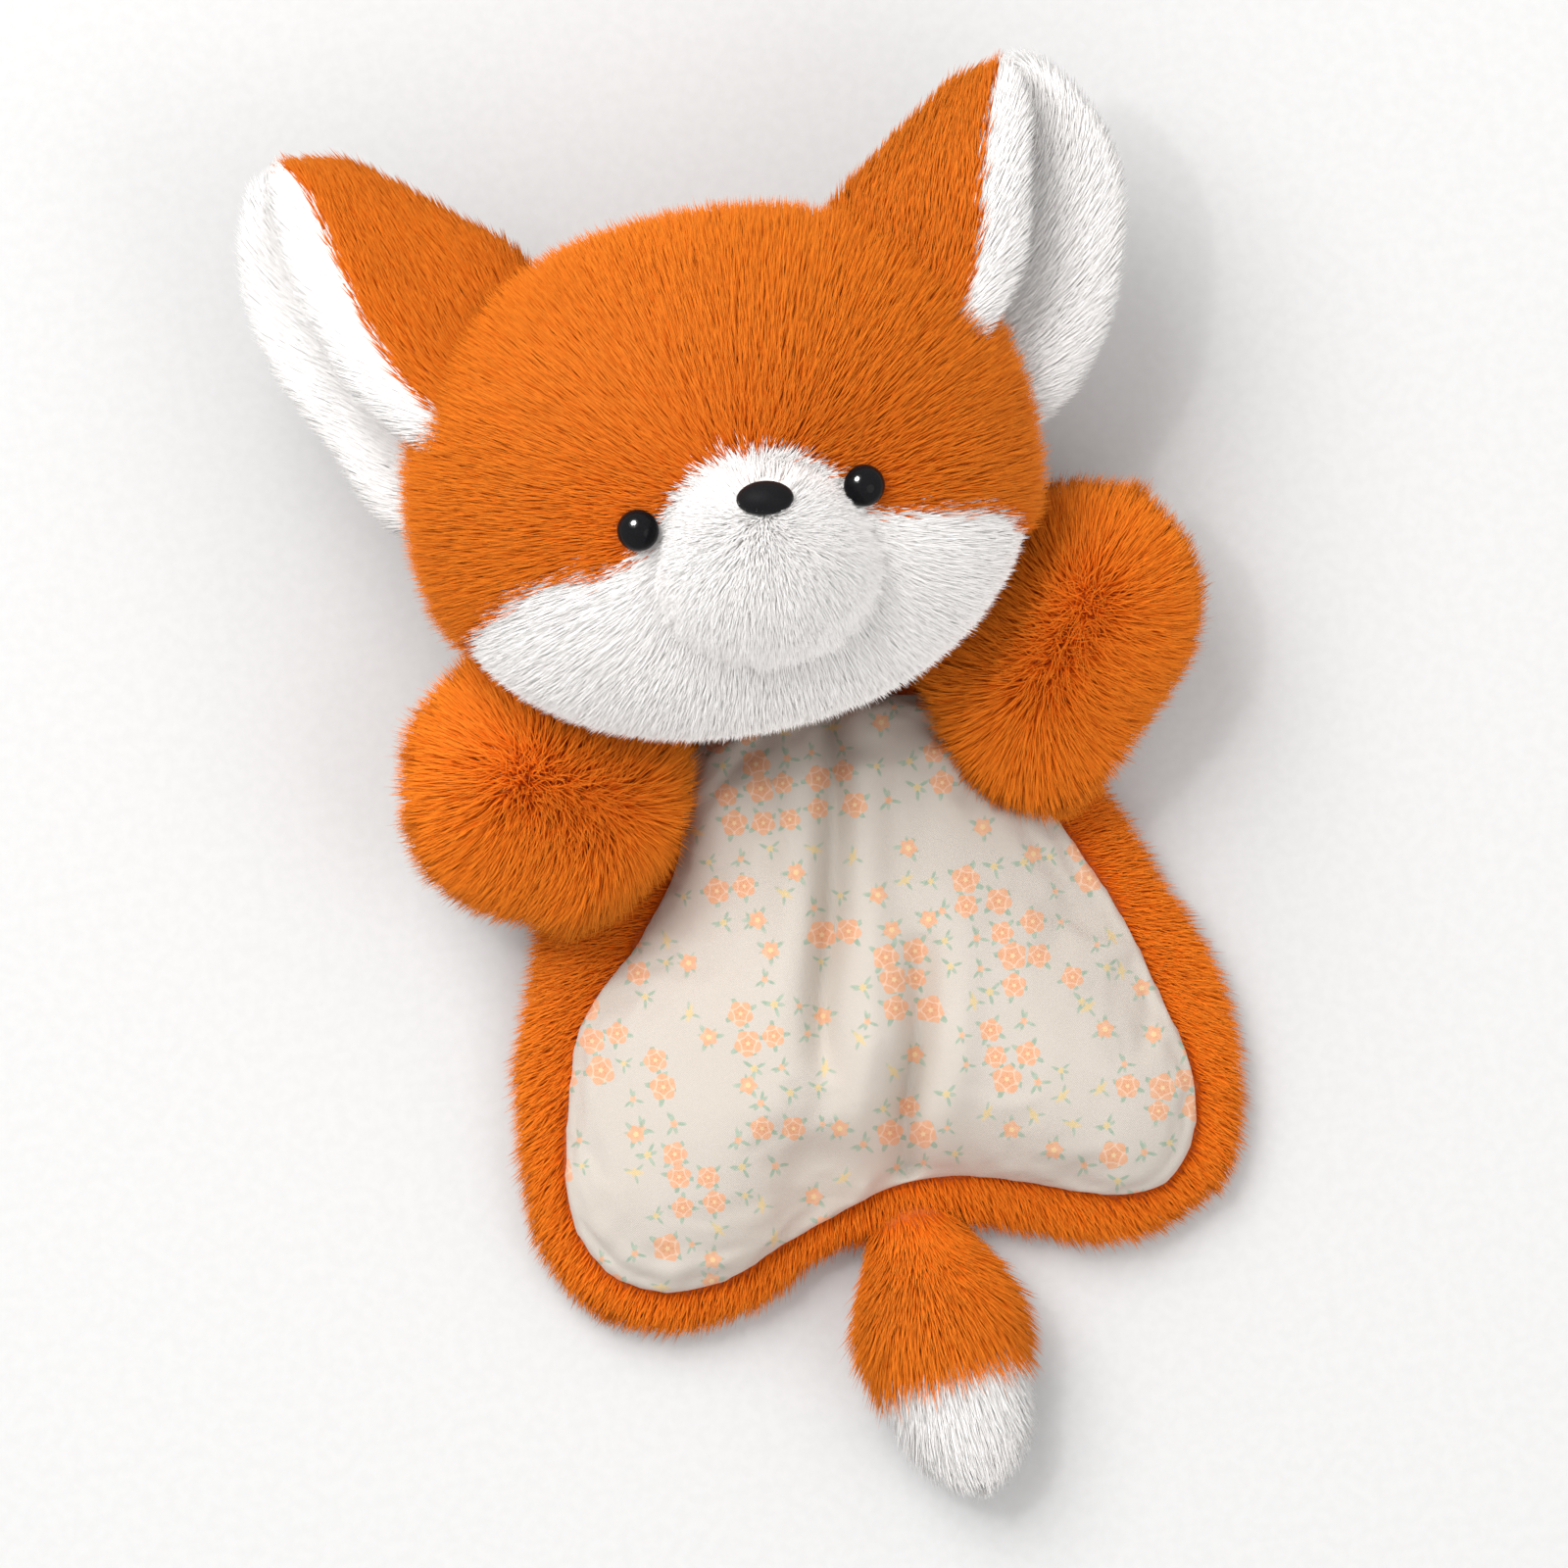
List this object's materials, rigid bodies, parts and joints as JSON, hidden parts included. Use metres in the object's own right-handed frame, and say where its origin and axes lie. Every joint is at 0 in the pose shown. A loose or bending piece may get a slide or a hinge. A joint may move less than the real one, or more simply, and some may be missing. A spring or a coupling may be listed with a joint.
{
  "type": "plush fox",
  "caption": "Stuffed plush fox comforter lying on its back: big head with muzzle and cupped ears, mitten arms, flat body with a floral cotton front, white-tipped tail.",
  "frame": {"origin": "on the flat of the back, under the middle of the body", "axes": "+Z out of the face and belly, +Y towards the head, +X to the fox's own left"},
  "size_m": [0.1761, 0.2939, 0.109],
  "materials": {
    "orange_plush": "long pile plush, combed",
    "white_plush": "long pile plush, combed",
    "print_cotton": "woven cotton with a small floral print",
    "polyester_fibre": "loose stuffing",
    "black_plastic": "polished",
    "washer_plastic": "moulded"
  },
  "bodies": {
    "body": {"body_back_cover": "orange_plush", "body_front_panel": "print_cotton", "body_filling": "polyester_fibre"},
    "neck": {"neck_filling": "polyester_fibre"},
    "head": {"head_cover": "orange_plush", "cheek_cover": "white_plush", "muzzle_cover": "white_plush", "head_filling": "polyester_fibre", "muzzle_filling": "polyester_fibre", "eye_left": "black_plastic", "eye_right": "black_plastic", "eye_washer_left": "washer_plastic", "eye_washer_right": "washer_plastic", "nose": "black_plastic", "nose_washer": "washer_plastic"},
    "ear_left": {"ear_left_outer": "orange_plush", "ear_left_lining": "white_plush"},
    "ear_right": {"ear_right_outer": "orange_plush", "ear_right_lining": "white_plush"},
    "arm_left": {"arm_left_cover": "orange_plush", "arm_left_filling": "polyester_fibre"},
    "arm_right": {"arm_right_cover": "orange_plush", "arm_right_filling": "polyester_fibre"},
    "tail": {"tail_cover": "orange_plush", "tail_tip_cover": "white_plush", "tail_filling": "polyester_fibre"}
  },
  "joints": [
    {"name": "head_turn", "type": "hinge", "parent": "body", "child": "neck", "pos_m": [0, 0.06, 0.022], "axis": [0, 1, 0], "range_deg": [-8, 8], "stiffness_Nm_per_rad": 0.3},
    {"name": "head_nod", "type": "hinge", "parent": "neck", "child": "head", "pos_m": [0, 0.06, 0.022], "axis": [1, 0, 0], "range_deg": [-6, 10], "stiffness_Nm_per_rad": 0.3},
    {"name": "arm_left_swing", "type": "hinge", "parent": "body", "child": "arm_left", "pos_m": [0.042, 0.045, 0.022], "axis": [0, 0, 1], "range_deg": [-40, 2], "stiffness_Nm_per_rad": 0.02},
    {"name": "arm_right_swing", "type": "hinge", "parent": "body", "child": "arm_right", "pos_m": [-0.031, 0.0405, 0.022], "axis": [0, 0, 1], "range_deg": [-2, 40], "stiffness_Nm_per_rad": 0.02},
    {"name": "tail_swing", "type": "hinge", "parent": "body", "child": "tail", "pos_m": [0.002, -0.0465, 0.013], "axis": [0, 0, 1], "range_deg": [-14, 14], "stiffness_Nm_per_rad": 0.02},
    {"name": "ear_left_flap", "type": "hinge", "parent": "head", "child": "ear_left", "pos_m": [0.0407, 0.1266, 0.05], "axis": [0.8471, -0.5315, 0], "range_deg": [-8, 8], "stiffness_Nm_per_rad": 0.02},
    {"name": "ear_right_flap", "type": "hinge", "parent": "head", "child": "ear_right", "pos_m": [-0.051, 0.1282, 0.05], "axis": [-0.8278, -0.561, 0], "range_deg": [-8, 8], "stiffness_Nm_per_rad": 0.02}
  ]
}
